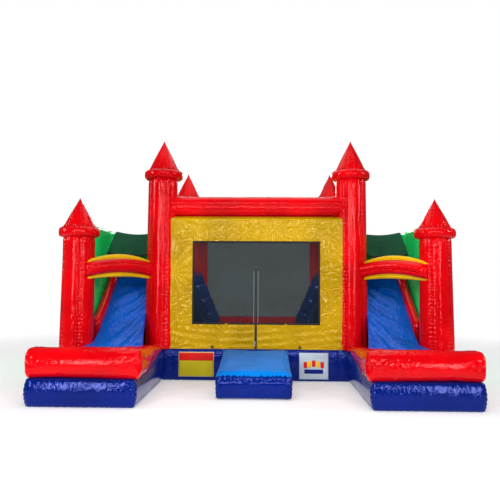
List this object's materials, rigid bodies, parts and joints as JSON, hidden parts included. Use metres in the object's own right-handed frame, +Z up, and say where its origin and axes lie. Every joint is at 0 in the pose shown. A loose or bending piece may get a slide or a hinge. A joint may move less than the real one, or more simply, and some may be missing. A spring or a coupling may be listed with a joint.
{
  "type": "inflatable bounce house",
  "caption": "Castle-shaped inflatable bounce house: a netted jumping room with corner turrets between two side slides, with an entrance step and a zipped door.",
  "frame": {"origin": "on the ground, under the middle of the whole unit", "axes": "+Z up, -Y towards the entrance side, +X to the right seen from the entrance"},
  "size_m": [6.6296, 6.62, 4.3],
  "materials": {
    "red_vinyl": "gloss",
    "base_blue": "gloss",
    "step_blue": "gloss",
    "lane_blue": "gloss",
    "yellow_vinyl": "gloss",
    "arch_yellow": "gloss",
    "light_green": "gloss",
    "dark_green": "satin",
    "netting": "matte",
    "webbing": "matte",
    "steel": "polished",
    "sign_cream": "satin",
    "label_pale": "satin"
  },
  "bodies": {
    "inflatable": {"base_chamber": "base_blue", "entrance_step": "step_blue", "beam_front": "red_vinyl", "beam_rear": "red_vinyl", "beam_left": "red_vinyl", "beam_right": "red_vinyl", "roof_cover": "yellow_vinyl", "front_wall": "yellow_vinyl", "window_mesh": "netting", "rear_wall": "red_vinyl", "rear_window_mesh": "netting", "side_wall_left": "yellow_vinyl", "side_wall_right": "yellow_vinyl", "climb_ramp_left": "base_blue", "climb_ramp_right": "base_blue", "notice_panel": "sign_cream", "label_panel": "label_pale", "blower_sleeve": "base_blue", "sleeve_strap": "webbing", "tower_front_left": "red_vinyl", "turret_front_left": "red_vinyl", "tower_front_right": "red_vinyl", "turret_front_right": "red_vinyl", "tower_rear_left": "red_vinyl", "turret_rear_left": "red_vinyl", "tower_rear_right": "red_vinyl", "turret_rear_right": "red_vinyl", "tower_slide_left": "red_vinyl", "turret_slide_left": "red_vinyl", "tower_slide_right": "red_vinyl", "turret_slide_right": "red_vinyl", "slide_base_left": "base_blue", "bumper_left": "red_vinyl", "slide_lane_left": "lane_blue", "rail_left": "red_vinyl", "slide_outer_wall_left": "light_green", "slide_rear_wall_left": "light_green", "hood_left": "dark_green", "arch_left": "red_vinyl", "arch_backing_left": "arch_yellow", "anchor_tab_left": "webbing", "slide_base_right": "base_blue", "bumper_right": "red_vinyl", "slide_lane_right": "lane_blue", "rail_right": "red_vinyl", "slide_outer_wall_right": "light_green", "slide_rear_wall_right": "light_green", "hood_right": "dark_green", "arch_right": "red_vinyl", "arch_backing_right": "arch_yellow", "anchor_tab_right": "webbing"},
    "door_left": {"door_flap_left": "yellow_vinyl", "door_mesh_left": "netting"},
    "door_right": {"door_flap_right": "yellow_vinyl", "door_mesh_right": "netting"},
    "zip_slider_body": {"zip_slider": "steel"},
    "pull_tab": {"zip_pull_tab": "steel"},
    "ring_left": {"anchor_ring_left": "steel"},
    "ring_right": {"anchor_ring_right": "steel"}
  },
  "joints": [
    {"name": "door_left_fold", "type": "hinge", "parent": "inflatable", "child": "door_left", "pos_m": [0, -0.975, 2.055], "axis": [0.446, 0, 0.895], "range_deg": [-150, 0]},
    {"name": "door_right_fold", "type": "hinge", "parent": "inflatable", "child": "door_right", "pos_m": [0, -0.975, 2.055], "axis": [-0.446, 0, 0.895], "range_deg": [0, 150]},
    {"name": "zip_slide", "type": "slide", "parent": "door_left", "child": "zip_slider_body", "axis": [0, 0, 1], "range_m": [0, 1.32]},
    {"name": "pull_tab_swing", "type": "hinge", "parent": "zip_slider_body", "child": "pull_tab", "pos_m": [-0.016, -0.9915, 0.65], "axis": [-1, 0, 0], "range_deg": [0, 140]},
    {"name": "ring_left_swing", "type": "hinge", "parent": "inflatable", "child": "ring_left", "pos_m": [-2.9, 2.926, 0.2], "axis": [1, 0, 0], "range_deg": [0, 110]},
    {"name": "ring_right_swing", "type": "hinge", "parent": "inflatable", "child": "ring_right", "pos_m": [2.9, 2.926, 0.2], "axis": [1, 0, 0], "range_deg": [0, 110]}
  ]
}
